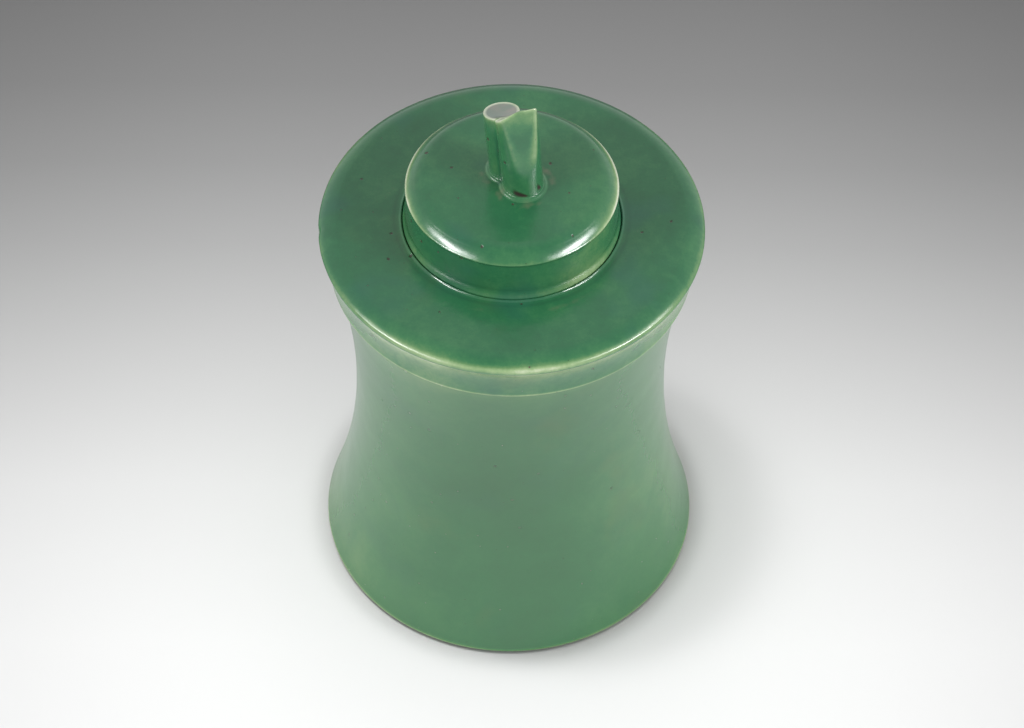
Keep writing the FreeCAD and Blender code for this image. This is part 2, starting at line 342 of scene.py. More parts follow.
def shoulder_plate():
    """Flat top: rounded lip, flared skirt, sharp ridge, and the roll round the lid's rebate."""
    neck_in = NECK_R - WALL
    ridge_r = 0.9523 * LIP_R
    nose = 0.10
    lip_z = TOP_Z - 2.0
    groove_r = LID_FOOT_R + 0.09
    bead_r = LID_FOOT_R + 0.34
    roll_r = LID_FOOT_R + 1.0
    under_z = TOP_Z - 4.4
    under_round = 3.0
    outline = Outline(neck_in, RIDGE_Z)
    outline.line(ridge_r - nose, RIDGE_Z)
    outline.corner(ridge_r - nose, RIDGE_Z + nose, ridge_r, RIDGE_Z + nose, 0.06)
    outline.line(ridge_r, RIDGE_Z + 0.6, 0.15)
    outline.arc(ridge_r + 0.35, RIDGE_Z + 4.0, ridge_r + 1.20, RIDGE_Z + 7.20, 0.3)
    outline.arc(ridge_r + 1.48, RIDGE_Z + 7.62, LIP_R - 0.02, lip_z - 0.18, 0.08)
    outline.arc(LIP_R - 0.07, lip_z + 0.32, LIP_R - 0.38, lip_z + 0.72, 0.06)
    outline.arc(LIP_R - 1.40, lip_z + 1.40, LIP_R - 3.2, TOP_Z - 0.04, 0.12)
    outline.line(bead_r + 1.3, TOP_Z + 0.01, 0.4)
    outline.line(bead_r + 0.55, TOP_Z + 0.02, 0.1)
    outline.arc(bead_r + 0.32, TOP_Z + 0.05, bead_r + 0.16, TOP_Z + 0.13, 0.05)
    outline.arc(bead_r, TOP_Z + 0.19, bead_r - 0.15, TOP_Z + 0.10, 0.05)
    outline.line(groove_r, ROLL_Z - 0.55, 0.1)
    outline.line(groove_r, SEAT_Z, 0.15)
    outline.line(COLLAR_R, SEAT_Z)
    outline.line(COLLAR_R, under_z)
    outline.line(neck_in - under_round, under_z)
    outline.corner(neck_in - under_round, under_z - under_round,
                   neck_in, under_z - under_round, 0.4)
    outline.line(neck_in, RIDGE_Z)

    slow = hand_thrown(0.09, 38, 23)
    chip_angle, chip_z = math.radians(-86), lip_z + 0.4
    beads_right, beads_left, beads_half = math.radians(36), math.radians(329), 0.24

    def warp(r, z, angle):
        """Uneven by hand, with beads of glaze round the lid and one small chip in the lip."""
        dr, dz = slow(r, z, angle)
        outer = unit((r - roll_r - 1.5) / 6) * unit((z - RIDGE_Z) / 3)
        dr, dz = dr * outer, dz * outer * np.clip((LIP_R - r) / 2, 0.3, 1)
        beads = unit((bead_r + 0.48 - r) / 0.42) * unit((z - SEAT_Z - 0.3) / 0.4)
        x, y = flat(r, angle)
        ripple = np.minimum(waves(x, y, 0 * z, 2.4, 31, 2), 0.6)
        right = bell(angle - beads_right, beads_half)
        left = bell(angle - beads_left, beads_half)
        dz = dz + beads * (ripple * (0.04 + 0.10 * right) + 0.20 * (left + right))
        dr = dr + beads * waves(angle * 20, z, 0 * z, 5, 37, 2) * 0.05
        turn_off = (angle - chip_angle + math.pi) % TURN - math.pi
        dent = bell(turn_off * LIP_R, 0.9) * bell(z - chip_z, 0.7)
        return dr - 0.28 * dent * (r > LIP_R - 2), dz

    def marks(r, z, angle, proud):
        """Thin on the lip and ridge; the skirt painted pale as a reflection, with thin glaze near
        the lip; pooled glaze, painted shade and a stain round the lid.
        """
        front, side = np.cos(angle), np.sin(angle) ** 2
        crest = np.hypot(r - LIP_R + 0.12, z - lip_z - 0.55)
        lip = 0.56 * bell(crest, 0.70) + 0.24 * bell(crest, 1.8)
        lip = np.maximum(0.15 + 0.87 * front, 0.45) * lip
        from_ridge = np.hypot(r - ridge_r, z - RIDGE_Z - 0.1)
        ridge = (0.45 + 0.35 * front) * bell(from_ridge, 0.40)
        # The skirt is painted pale, most at the sides: a painted reflection of the pale floor, with
        # thin glaze near the lip.
        on_skirt = (r > ridge_r - 2) & (z < lip_z - 0.5)
        upper = unit((z - RIDGE_Z - 3.2) / 4.5) ** 2
        skirt = on_skirt * (1.10 + 1.4 * side + (3.0 + 1.2 * side) * upper)
        inside = r < roll_r + 2.5
        # Painted shade in a narrow band just outside the bead.
        shade_band = bell(r - roll_r - 0.55, 0.35) * inside
        halo = bell(r - roll_r - 2.2, 0.8) * (z > SEAT_Z)
        wander = 0.5 + 0.5 * waves(*flat(r, angle), 0 * z, 14, 39, 2)
        thinned = np.where(inside, 0, np.maximum(lip + 0.17 * skirt, ridge))
        return {"thin": unit(thinned), "stain": 0.55 * unit(halo * wander),
                "pool": unit(0.5 * unit(-proud) * inside + 0.5 * shade_band)}

    return turned("shoulder_plate_glazed", outline, "shoulder_plate", "pot",
                  GREEN, warp, marks, segments=288)


def mouth_collar():
    """Collar in the mouth, with the ledge that the cup hangs on."""
    mouth_r = CUP_RIM_R + 0.35
    ledge_r = mouth_r - 2.4
    outline = Outline(ledge_r + 0.3, COLLAR_BOTTOM_Z)
    outline.line(COLLAR_R - 0.8, COLLAR_BOTTOM_Z)
    outline.corner(COLLAR_R - 0.8, COLLAR_BOTTOM_Z + 0.8, COLLAR_R, COLLAR_BOTTOM_Z + 0.8)
    outline.line(COLLAR_R, SEAT_Z)
    outline.line(mouth_r + 0.4, SEAT_Z)
    outline.corner(mouth_r + 0.4, SEAT_Z - 0.4, mouth_r, SEAT_Z - 0.4, 0.1)
    outline.line(mouth_r, LEDGE_Z)
    outline.line(ledge_r + 0.3, LEDGE_Z)
    outline.corner(ledge_r + 0.3, LEDGE_Z - 0.3, ledge_r, LEDGE_Z - 0.3, 0.1)
    outline.line(ledge_r, COLLAR_BOTTOM_Z + 0.3)
    outline.corner(ledge_r + 0.3, COLLAR_BOTTOM_Z + 0.3, ledge_r + 0.3, COLLAR_BOTTOM_Z, 0.1)
    return turned("mouth_collar_fired", outline, "mouth_collar", "pot", CLAY,
                  segments=200)


def ink_cup():
    """Tapering cup with a rolled rim."""
    wall = 1.9
    foot_round = 3.0
    rim_round = 0.9
    outer_r = CUP_RIM_R - 2.45
    foot_r = outer_r - 1.2
    mouth_r = outer_r - wall
    inner_foot = foot_r - wall
    inner_z = CUP_BOTTOM_Z + 2.3
    outline = Outline(0, CUP_BOTTOM_Z + 0.25)
    outline.line(foot_r - foot_round - 1, CUP_BOTTOM_Z + 0.2)
    outline.line(foot_r - foot_round, CUP_BOTTOM_Z, 0.3)
    outline.corner(foot_r - foot_round, CUP_BOTTOM_Z + foot_round,
                   foot_r, CUP_BOTTOM_Z + foot_round, 0.3)
    outline.line(outer_r, LEDGE_Z)
    outline.line(CUP_RIM_R - 0.3, LEDGE_Z)
    outline.corner(CUP_RIM_R - 0.3, LEDGE_Z + 0.3, CUP_RIM_R, LEDGE_Z + 0.3, 0.1)
    outline.line(CUP_RIM_R, CUP_TOP_Z - rim_round)
    outline.corner(CUP_RIM_R - rim_round, CUP_TOP_Z - rim_round, CUP_RIM_R - rim_round, CUP_TOP_Z)
    outline.line(mouth_r + rim_round, CUP_TOP_Z)
    outline.corner(mouth_r + rim_round, CUP_TOP_Z - rim_round, mouth_r, CUP_TOP_Z - rim_round)
    outline.line(inner_foot, inner_z + foot_round)
    outline.corner(inner_foot - foot_round, inner_z + foot_round,
                   inner_foot - foot_round, inner_z, 0.3)
    outline.line(0, inner_z, 0.8)
    return turned("ink_cup_glazed", outline, "ink_cup", "cup", PALE, segments=200)


def lid_cap():
    """Cap lid: slightly flared wall, crisp edge, soft shoulder, barely domed crown."""
    edge_r = LID_FOOT_R - 0.63
    edge_z = CROWN_Z - 2.75
    ceiling_z = CROWN_Z - 3.3
    foot = 0.2
    outline = Outline(RING_R, SEAT_Z)
    outline.line(LID_FOOT_R - foot, SEAT_Z)
    outline.corner(LID_FOOT_R - foot, SEAT_Z + foot, LID_FOOT_R, SEAT_Z + foot)
    outline.line(LID_FOOT_R, SEAT_Z + 0.65, 0.2)
    outline.arc(LID_FOOT_R - 0.33, SEAT_Z + 1.35, LID_FOOT_R - 0.46, SEAT_Z + 2.6, 0.1)
    outline.arc(edge_r, SEAT_Z + 5.4, edge_r - 0.14, edge_z - 0.55, 0.3)
    outline.arc(edge_r - 0.06, edge_z - 0.32, edge_r, edge_z - 0.12, 0.07)
    outline.arc(edge_r - 0.02, edge_z + 0.04, edge_r - 0.10, edge_z + 0.14, 0.04)
    outline.arc(edge_r - 0.72, edge_z + 0.84, edge_r - 1.45, edge_z + 1.47, 0.12)
    outline.arc(edge_r - 2.25, edge_z + 2.00, LID_DOME_R, CROWN_Z - LID_SAG, 0.12)
    half = LID_DOME_R / 2
    rise = math.sqrt(LID_SPHERE ** 2 - half ** 2) - LID_SPHERE
    outline.arc(half, CROWN_Z + rise, 0, CROWN_Z, 0.5)
    outline.points[-1] = (0, CROWN_Z)
    outline.line(0, ceiling_z, 5)
    outline.line(RING_R - 2, ceiling_z, 1.0)
    outline.corner(RING_R - 2, ceiling_z - 2, RING_R, ceiling_z - 2, 0.3)
    outline.line(RING_R, SEAT_Z)

    slow = hand_thrown(0.07, 30, 41)

    def warp(r, z, angle):
        """Uneven by hand, except at the foot and in the middle of the crown."""
        dr, dz = slow(r, z, angle)
        free = unit((z - SEAT_Z - 1.2) / 3) * unit((r - 9) / 4)
        return dr * free, dz * free

    def marks(r, z, angle, proud):
        """Thin on the edge, with a painted highlight making it palest at the back and sides;
        painted light low on the wall and on its right; stained at the knob.
        """
        edge = bell(np.hypot(r - edge_r, z - edge_z - 0.05), 0.42)
        # Painted highlight on the edge, growing away from the front.
        back_edge_highlight = unit(0.75 - np.cos(angle)) * (z > edge_z - 0.5)
        away = back_edge_highlight * (0.85 * edge + 0.70 * bell(r - edge_r, 0.8))
        rim = bell(r - edge_r, 1.6) * (z > edge_z)
        x, y = flat(r, angle)
        ring = bell(stem_distance(x, y, 0 * x) - 1.6, 1.0)
        side = 0.35 + 0.65 * waves(x, y, 0 * x, 5, 43, 3)
        # Painted light on the wall: a patch on its right side and a band low down by the flaring
        # foot.
        wall = (r > LID_FOOT_R - 1.5) & (z < edge_z - 0.2)
        lit_right_side = bell(np.degrees(angle) - 44, 21)
        low = bell(z - SEAT_Z - 1.2, 0.9)
        wall_light = wall * (0.30 * lit_right_side + (0.20 + 0.15 * lit_right_side) * low)
        return {"thin": unit(0.16 * edge + 0.13 * rim + away + wall_light),
                "pool": 0.6 * unit(-proud),
                "stain": unit(ring * side) * (z > CROWN_Z - 1)}

    return turned("lid_cap_glazed", outline, "lid_cap", "lid", GREEN, warp, marks)


def lid_locating_ring():
    """Ring under the lid."""
    inner = RING_R - 2.8
    outline = Outline(inner + 0.5, RING_BOTTOM_Z)
    outline.line(RING_R - 0.5, RING_BOTTOM_Z)
    outline.corner(RING_R - 0.5, RING_BOTTOM_Z + 0.5, RING_R, RING_BOTTOM_Z + 0.5)
    outline.line(RING_R, RING_TOP_Z)
    outline.line(inner, RING_TOP_Z)
    outline.line(inner, RING_BOTTOM_Z + 0.5)
    outline.corner(inner + 0.5, RING_BOTTOM_Z + 0.5, inner + 0.5, RING_BOTTOM_Z, 0.1)
    return turned("lid_locating_ring_fired", outline, "lid_locating_ring", "lid",
                  CLAY, segments=200)


# ---- knob -------------------------------------------------------------------------------------

# Each stem: where its axis meets the crown, how it leans per mm of height, and the slanting cuts
# that end it, as a height and slopes to the right and to the back.
MAIN_STEM = {"root": (1.95, -2.20), "lean": (-0.082, 0.058), "radius": 3.68,
             "cuts": ((17.5, 0.83, -0.68), (16.15, 0.32, -1.87))}
SIDE_STEM = {"root": (-0.85, 1.45), "lean": (-0.076, -0.004), "radius": 3.25,
             "cuts": ((14.4, 0.10, -0.34),)}
# Roundness of the glaze rim at a stem's end, how far that end stands above the cut and how deep it
# is dished, and the knob's height above the crown.
RIM = 0.34
END_RISE = 0.42
DISH = 0.40
KNOB_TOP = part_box("knob_main_stem")[1].z / MM - CROWN_Z - 0.03
# The flat pared off the front of the main stem: which way it faces, where it starts above the
# crown, and how much deeper it goes per mm of height.
FACET_AZIMUTH = math.radians(19)
FACET_FOOT = 4.6
FACET_SLOPE = 1.7 / 13.4
# The bead of glaze round the knob's root: how far out and down its middle is, and its radius.
BEAD_OUT, BEAD_DOWN, BEAD_R = 0.16, 0.08, 0.40
# Over how many mm the knob's parts run into each other.
BLEND_FACET, BLEND_STEMS, BLEND_TOP, BLEND_BEAD, BLEND_CROWN = 0.7, 0.9, 0.25, 0.25, 0.35
# The knob's piece ends this far out from its stems and this far below the crown's top, and where
# it runs out on the crown it lies this far under the lid's own skin.
FOOT_OUT, FOOT_DOWN, CROWN_HIDE = 2.2, 1.0, 0.002
# Spacing in mm of the grid that the knob is grown on; how often its points are evened out, and how
# often each time they are pulled back to the surface, where the field may be no flatter than this.
KNOB_STEP = 0.16
SETTLE_ROUNDS = 3
SETTLE_STEPS = 3
FLATTEST = 0.05


def stem_axis(stem, height):
    """Where a leaning stem's axis is at a height above the crown."""
    return (stem["root"][0] + stem["lean"][0] * height,
            stem["root"][1] + stem["lean"][1] * height)


def stem_distance(x, y, height):
    """Distance to the nearer stem's side, on a level."""
    best = None
    for stem in (MAIN_STEM, SIDE_STEM):
        cx, cy = stem_axis(stem, height)
        away = np.hypot(x - cx, y - cy) - stem["radius"]
        best = away if best is None else np.minimum(best, away)
    return best


def soft_min(a, b, size):
    """Minimum that blends over a distance, without a crease at either end."""
    h = np.clip(size - np.abs(a - b), 0, None) / size
    return np.minimum(a, b) - size * h ** 3 / 6


def soft_max(a, b, size):
    """Maximum that blends over a distance."""
    return -soft_min(-a, -b, size)


def cut_heights(stem, x, y, height):
    """How far a point is above each of the slanting cuts that end a stem."""
    for level, slope_x, slope_y in stem["cuts"]:
        cx, cy = stem_axis(stem, level)
        over = height - level - slope_x * (x - cx) - slope_y * (y - cy)
        yield over / math.sqrt(1 + slope_x ** 2 + slope_y ** 2)


def stem_field(stem, x, y, height):
    """Signed distance to one stem, its end slightly dished inside a rounded glaze rim."""
    cx, cy = stem_axis(stem, height)
    away = np.hypot(x - cx, y - cy)
    uneven = 0.06 * waves(x, y, height, 9, 57, 2)
    inset = 0.03
    field = away - stem["radius"] + inset + uneven
    for over in cut_heights(stem, x, y, height):
        dish = DISH * unit(1 - (away / stem["radius"]) ** 2)
        field = soft_max(field, over + dish - END_RISE, RIM)
    return field


def facet(x, y, height):
    """Distance beyond the slanting facet pared off the front of the main stem."""
    cx, cy = stem_axis(MAIN_STEM, height)
    out = (x - cx) * math.sin(FACET_AZIMUTH) - (y - cy) * math.cos(FACET_AZIMUTH)
    return out - MAIN_STEM["radius"] + FACET_SLOPE * (height - FACET_FOOT)


def knob_field(x, y, z):
    """Signed distance to the knob: two stems run together and melted into the lid's crown."""
    height = z - CROWN_Z
    main = soft_max(stem_field(MAIN_STEM, x, y, height), facet(x, y, height), BLEND_FACET)
    side = stem_field(SIDE_STEM, x, y, height)
    stems = soft_max(soft_min(main, side, BLEND_STEMS), height - KNOB_TOP, BLEND_TOP)
    drop = LID_SPHERE - np.sqrt(LID_SPHERE ** 2 - x ** 2 - y ** 2)
    crown = height + drop + CROWN_HIDE
    bead = np.hypot(stems - BEAD_OUT, crown + BEAD_DOWN) - BEAD_R
    melted = soft_min(soft_min(stems, bead, BLEND_BEAD), crown, BLEND_CROWN)
    limit = np.maximum(stem_distance(x, y, height) - FOOT_OUT, -height - FOOT_DOWN)
    return np.maximum(melted, limit)


def slope_of(field, p, nudge=0.02):
    """Gradient of a field at many points."""
    axes = np.eye(3) * nudge
    return np.stack([(field(*(p + a).T) - field(*(p - a).T)) / (2 * nudge) for a in axes], -1)


def skin(field, low, high, step):
    """Surface of a field's inside as points and quads (naive surface nets, then settled)."""
    axes = [np.arange(lo, hi + step, step) for lo, hi in zip(low, high)]
    grid = np.meshgrid(*axes, indexing="ij")
    value = field(*grid)
    cells = tuple(n - 1 for n in value.shape)
    total, count = np.zeros(cells + (3,)), np.zeros(cells)
    crossings = []
    for axis in range(3):
        near = [slice(None)] * 3
        far = [slice(None)] * 3
        near[axis], far[axis] = slice(0, -1), slice(1, None)
        a, b = value[tuple(near)], value[tuple(far)]
        crossed = (a < 0) != (b < 0)
        part = np.where(crossed, a / np.where(crossed, a - b, 1), 0)
        where = np.stack([g[tuple(near)] for g in grid], -1)
        where[..., axis] += part * step
        where *= crossed[..., None]
        crossings.append((crossed, a < 0))
        u, v = [k for k in range(3) if k != axis]
        for du in (0, 1):
            for dv in (0, 1):
                window = [slice(None)] * 3
                window[u] = slice(du, du + cells[u])
                window[v] = slice(dv, dv + cells[v])
                total += where[tuple(window)]
                count += crossed[tuple(window)]
    active = count > 0
    number = np.full(cells, -1)
    number[active] = np.arange(active.sum())
    points = total[active] / count[active][:, None]
    faces = []
    for axis, (crossed, inside) in enumerate(crossings):
        u, v = [(axis + 1) % 3, (axis + 2) % 3]
        i = np.argwhere(crossed)
        i = i[(i[:, u] > 0) & (i[:, v] > 0) & (i[:, u] < cells[u]) & (i[:, v] < cells[v])]
        corner = []
        for du, dv in ((1, 1), (0, 1), (0, 0), (1, 0)):
            j = i.copy()
            j[:, u] -= du
            j[:, v] -= dv
            corner.append(number[tuple(j.T)])
        quad = np.stack(corner, -1)
        flip = ~inside[tuple(i.T)]
        quad[flip] = quad[flip][:, ::-1]
        faces.append(quad)
    faces = np.concatenate(faces)
    for _ in range(SETTLE_ROUNDS):
        near = np.zeros_like(points)
        shared = np.zeros(len(points))
        for k in range(4):
            for other in (faces[:, (k + 1) % 4], faces[:, (k + 3) % 4]):
                np.add.at(near, faces[:, k], points[other])
                np.add.at(shared, faces[:, k], 1)
        points = 0.5 * points + 0.5 * near / shared[:, None]
        for _ in range(SETTLE_STEPS):
            slope = slope_of(field, points)
            steep = np.sum(slope ** 2, -1).clip(FLATTEST)
            move = (field(*points.T) / steep)[:, None] * slope
            points = points - move.clip(-step, step)
    return points, faces


def stem_marks(points, out, main, side):
    """Glaze thinned at the ends of the stems, and the faces of their cuts, which are coloured with
    a painted reflection.
    """
    x, y, z = points.T
    height = z - CROWN_Z
    thin, face = np.zeros_like(x), np.zeros_like(x)
    level = unit((out[:, 2] - 0.15) / 0.2)
    wander = 1 + 0.35 * waves(x, y, height, 4, 71, 2)
    for stem, own, other, fade, face_rim in ((MAIN_STEM, main, side, 3.8, 1.8),
                                             (SIDE_STEM, side, main, 2.8, 0.34)):
        cx, cy = stem_axis(stem, height)
        away = stem["radius"] - np.hypot(x - cx, y - cy)
        over = np.max(list(cut_heights(stem, x, y, height)), axis=0)
        mine = unit(0.5 + (other - own) / 0.3)
        below = np.minimum(over - END_RISE, 0)
        edge = 0.50 * bell(below, 0.5) + 0.52 * np.exp(below / (fade * wander))
        thin = np.maximum(thin, mine * np.maximum(edge, 0.16))
        end = unit((away - face_rim) / 0.35) * unit((over + 0.75) / 0.2)
        face = np.maximum(face, mine * end * level)
    return thin, face


# Cracks round the knob's root: middle and half length in radians, height and thickness in mm.
CRACKS = ((-0.12, 0.42, 1.05, 0.62), (0.95, 0.15, 1.4, 0.7))


def crack_marks(x, y, height):
    """Brown cracks in the glaze at the main stem's root."""
    root_x, root_y = MAIN_STEM["root"]
    angle = np.arctan2(x - root_x, root_y - y)
    crack = np.zeros_like(x)
    for middle, half, level, thick in CRACKS:
        along = (angle - middle) / half
        across = (height - level + 0.40 * along) / (thick * np.clip(1 - 0.6 * along, 0.1, 2))
        crack = np.maximum(crack, unit(1.6 - 1.5 * np.hypot(along ** 2, across)))
    return crack


def knob():
    """Both stems as one glazed piece."""
    reach_out, below, above = 8.5, 1.4, 21.6
    points, faces = skin(knob_field, (-reach_out, -reach_out, CROWN_Z - below),
                         (reach_out, reach_out, CROWN_Z + above), KNOB_STEP)
    x, y, z = points.T
    height = z - CROWN_Z
    out = slope_of(knob_field, points)
    out /= np.linalg.norm(out, axis=1)[:, None]
    main = stem_field(MAIN_STEM, x, y, height)
    side = stem_field(SIDE_STEM, x, y, height)
    thin, face = stem_marks(points, out, main, side)
    # Pooled glaze and painted shade in the groove between the stems.
    pool = 1.3 * unit(1 - np.abs(main - side) / 0.7) * unit((14 - height) / 4)

    cx, cy = stem_axis(MAIN_STEM, height)
    round_part = np.hypot(x - cx, y - cy) - MAIN_STEM["radius"]
    pared = facet(x, y, height)
    # Paler glaze along the facet's edges, made stronger on the right as a painted highlight.
    corner = bell(pared, 0.42) * bell(round_part, 0.65)
    right = unit((x - cx) / 2 + 0.3)
    low = unit((height - 5) / 4)
    thin = np.maximum(thin, corner * low * (0.42 + 0.33 * right) * (side > 0.3))
    # Painted shade inside the facet.
    inside = unit(-round_part / 0.8) * unit(1 + pared / 0.4)
    pool = np.maximum(pool, 0.5 * inside * unit((17 - height) / 4))

    stain = bell(height, 0.9) * (0.25 + 0.4 * waves(x, y, height, 5, 43, 2))
    values = {"thin": unit(thin), "pool": pool, "face": unit(face), "stain": unit(stain),
              "crack": crack_marks(x, y, height) * (side > 0.5)}
    return place("knob_glazed", points, faces.tolist(), values,
                 ("knob_main_stem", "knob_side_stem"), "lid", GREEN)


# ---- materials --------------------------------------------------------------------------------

def fill_ramp(node, stops):
    """Set the stops of a colour ramp: a place and a colour each."""
    elements = node.color_ramp.elements
    while len(elements) < len(stops):
        elements.new(0.5)
    for element, (place_at, colour) in zip(elements, stops):
        element.position = place_at
        element.color = (*colour, 1)


class Nodes:
    """A node material, built with short calls.  Lengths in it are millimetres."""

    def __init__(self, name):
        self.material = bpy.data.materials.new(name)
        self.material.use_nodes = True
        self.tree = self.material.node_tree
        self.tree.nodes.clear()
        self.shader = self.add("ShaderNodeBsdfPrincipled")
        end = self.add("ShaderNodeOutputMaterial")
        self.join(self.shader.outputs[0], end.inputs["Surface"])
        place_in = self.add("ShaderNodeTexCoord").outputs["Object"]
        self.mm = self.vector("SCALE", place_in, scale=1 / MM)

    def add(self, kind, **settings):
        node = self.tree.nodes.new(kind)
        for key, value in settings.items():
            setattr(node, key, value)
        return node

    def join(self, source, socket):
        """Link a socket, or set it when the source is a plain value."""
        if isinstance(source, bpy.types.NodeSocket):
            self.tree.links.new(source, socket)
        else:
            socket.default_value = source

    def vector(self, operation, a, b=None, scale=None):
        node = self.add("ShaderNodeVectorMath", operation=operation)
        self.join(a, node.inputs[0])
        if b is not None:
            self.join(b, node.inputs[1])
        if scale is not None:
            self.join(scale, node.inputs["Scale"])
        return node.outputs["Vector"]

    def math(self, operation, a, b=0.0, c=0.0, clamp=False):
        node = self.add("ShaderNodeMath", operation=operation, use_clamp=clamp)
        for socket, source in zip(node.inputs, (a, b, c)):
            self.join(source, socket)
        return node.outputs[0]

    def total(self, *terms):
        """Sum of terms; a term may be a pair (weight, source)."""
        result = None
        for term in terms:
            if isinstance(term, tuple):
                term = self.math("MULTIPLY", term[1], term[0])
            result = term if result is None else self.math("ADD", result, term)
        return result

    def ramp(self, source, low, high):
        """Smooth 0 to 1 as the source goes from low to high."""
        node = self.add("ShaderNodeMapRange", interpolation_type="SMOOTHSTEP", clamp=True)
        self.join(source, node.inputs["Value"])
        node.inputs["From Min"].default_value = low
        node.inputs["From Max"].default_value = high
        return node.outputs[0]

    def noise(self, size, detail, rough, shift=0.0, warp=0.0):
        """Noise from -1 to 1 with features of about this size in mm."""
        place_in = self.mm
        if shift:
            place_in = self.vector("ADD", place_in, (shift, -0.7 * shift, 0.4 * shift))
        node = self.add("ShaderNodeTexNoise", noise_dimensions="3D")
        self.join(place_in, node.inputs["Vector"])
        node.inputs["Scale"].default_value = 1 / size
        node.inputs["Detail"].default_value = detail
        node.inputs["Roughness"].default_value = rough
        node.inputs["Distortion"].default_value = warp
        return self.math("MULTIPLY_ADD", node.outputs["Fac"], 2.0, -1.0)

    def painted(self, label):
        """A value painted on the mesh."""
        return self.add("ShaderNodeAttribute", attribute_name=label).outputs["Fac"]

    def height(self):
        """Height above the table in mm."""
        node = self.add("ShaderNodeSeparateXYZ")
        self.join(self.mm, node.inputs[0])
        return node.outputs["Z"]

    def colours(self, source, stops, span=1.0):
        """Colour ramp over 0 to span."""
        node = self.add("ShaderNodeValToRGB")
        scaled = self.math("DIVIDE", source, span, clamp=True)
        self.join(scaled, node.inputs[0])
        fill_ramp(node, [(place_at / span, colour) for place_at, colour in stops])
        return node.outputs["Color"]

    def mix(self, amount, a, b):
        """Colour a, giving way to colour b by an amount."""
        node = self.add("ShaderNodeMix", data_type="RGBA")
        self.join(amount, node.inputs["Factor"])
        for key, source in (("A", a), ("B", b)):
            socket = [s for s in node.inputs if s.name == key and s.type == "RGBA"][0]
            self.join((*source, 1) if isinstance(source, tuple) else source, socket)
        return [s for s in node.outputs if s.type == "RGBA"][0]

    def tint(self, colour, amount, share, over):
        """Lay a colour over another, by a share of an amount."""
        return self.mix(self.math("MULTIPLY", amount, share), colour, over)

    def specks(self, cell, low, high, share, shift=0.0):
        """Scattered spots, low to high mm in radius, in a share of the cells; and a random tone."""
        place_in = self.vector("ADD", self.mm, (shift, 2 * shift, -shift))
        bent = self.add("ShaderNodeTexNoise")
        self.join(place_in, bent.inputs["Vector"])
        bends_per_mm, bend_mm = 1.7, 0.35
        bent.inputs["Scale"].default_value = bends_per_mm
        offset = self.vector("SCALE", bent.outputs["Color"], scale=bend_mm)
        node = self.add("ShaderNodeTexVoronoi", feature="F1")
        self.join(self.vector("ADD", place_in, offset), node.inputs["Vector"])
        node.inputs["Scale"].default_value = 1 / cell
        away = self.math("MULTIPLY", node.outputs["Distance"], cell)
        tone = self.add("ShaderNodeSeparateColor")
        self.join(node.outputs["Color"], tone.inputs[0])
        present = self.math("LESS_THAN", tone.outputs[0], share)
        size = self.math("MULTIPLY_ADD", tone.outputs[1], high - low, low)
        edge_out, edge_in = 1.15, 0.75
        near = self.ramp(self.math("DIVIDE", away, size), edge_out, edge_in)
        return self.math("MULTIPLY", near, present), tone.outputs[2]

    def bump(self, height):
        """A normal for fine relief of a height in mm."""
        node = self.add("ShaderNodeBump")
        node.inputs["Strength"].default_value = 1.0
        node.inputs["Distance"].default_value = MM
        self.join(height, node.inputs["Height"])
        return node.outputs[0]


# The green glaze's colour by thickness: nearly bare, 1 for the usual coat, and pooled.
GLAZE_STOPS = (
    (0.00, (0.600, 0.660, 0.500)),
    (0.10, (0.495, 0.580, 0.380)),
    (0.25, (0.300, 0.432, 0.215)),
    (0.55, (0.124, 0.258, 0.102)),
    (0.80, (0.043, 0.177, 0.070)),
    (1.00, (0.023, 0.138, 0.057)),
    (1.25, (0.018, 0.106, 0.047)),
    (1.60, (0.007, 0.067, 0.036)),
)
GLAZE_SPAN = 1.6
# Colours that lie over, in and under it.
TEAL = (0.022, 0.116, 0.076)
LEAF = (0.058, 0.155, 0.035)
OLIVE = (0.085, 0.150, 0.045)
RUST = (0.235, 0.195, 0.135)
# The cut faces' grey-green to grey-lilac is a painted reflection of the grey room.
CUT_FACE_REFLECTION = ((0.180, 0.250, 0.200), (0.270, 0.265, 0.230))
SPECK = ((0.018, 0.015, 0.009), (0.050, 0.030, 0.014))
DUST = (0.030, 0.050, 0.022)
CRACK = (0.020, 0.006, 0.004)


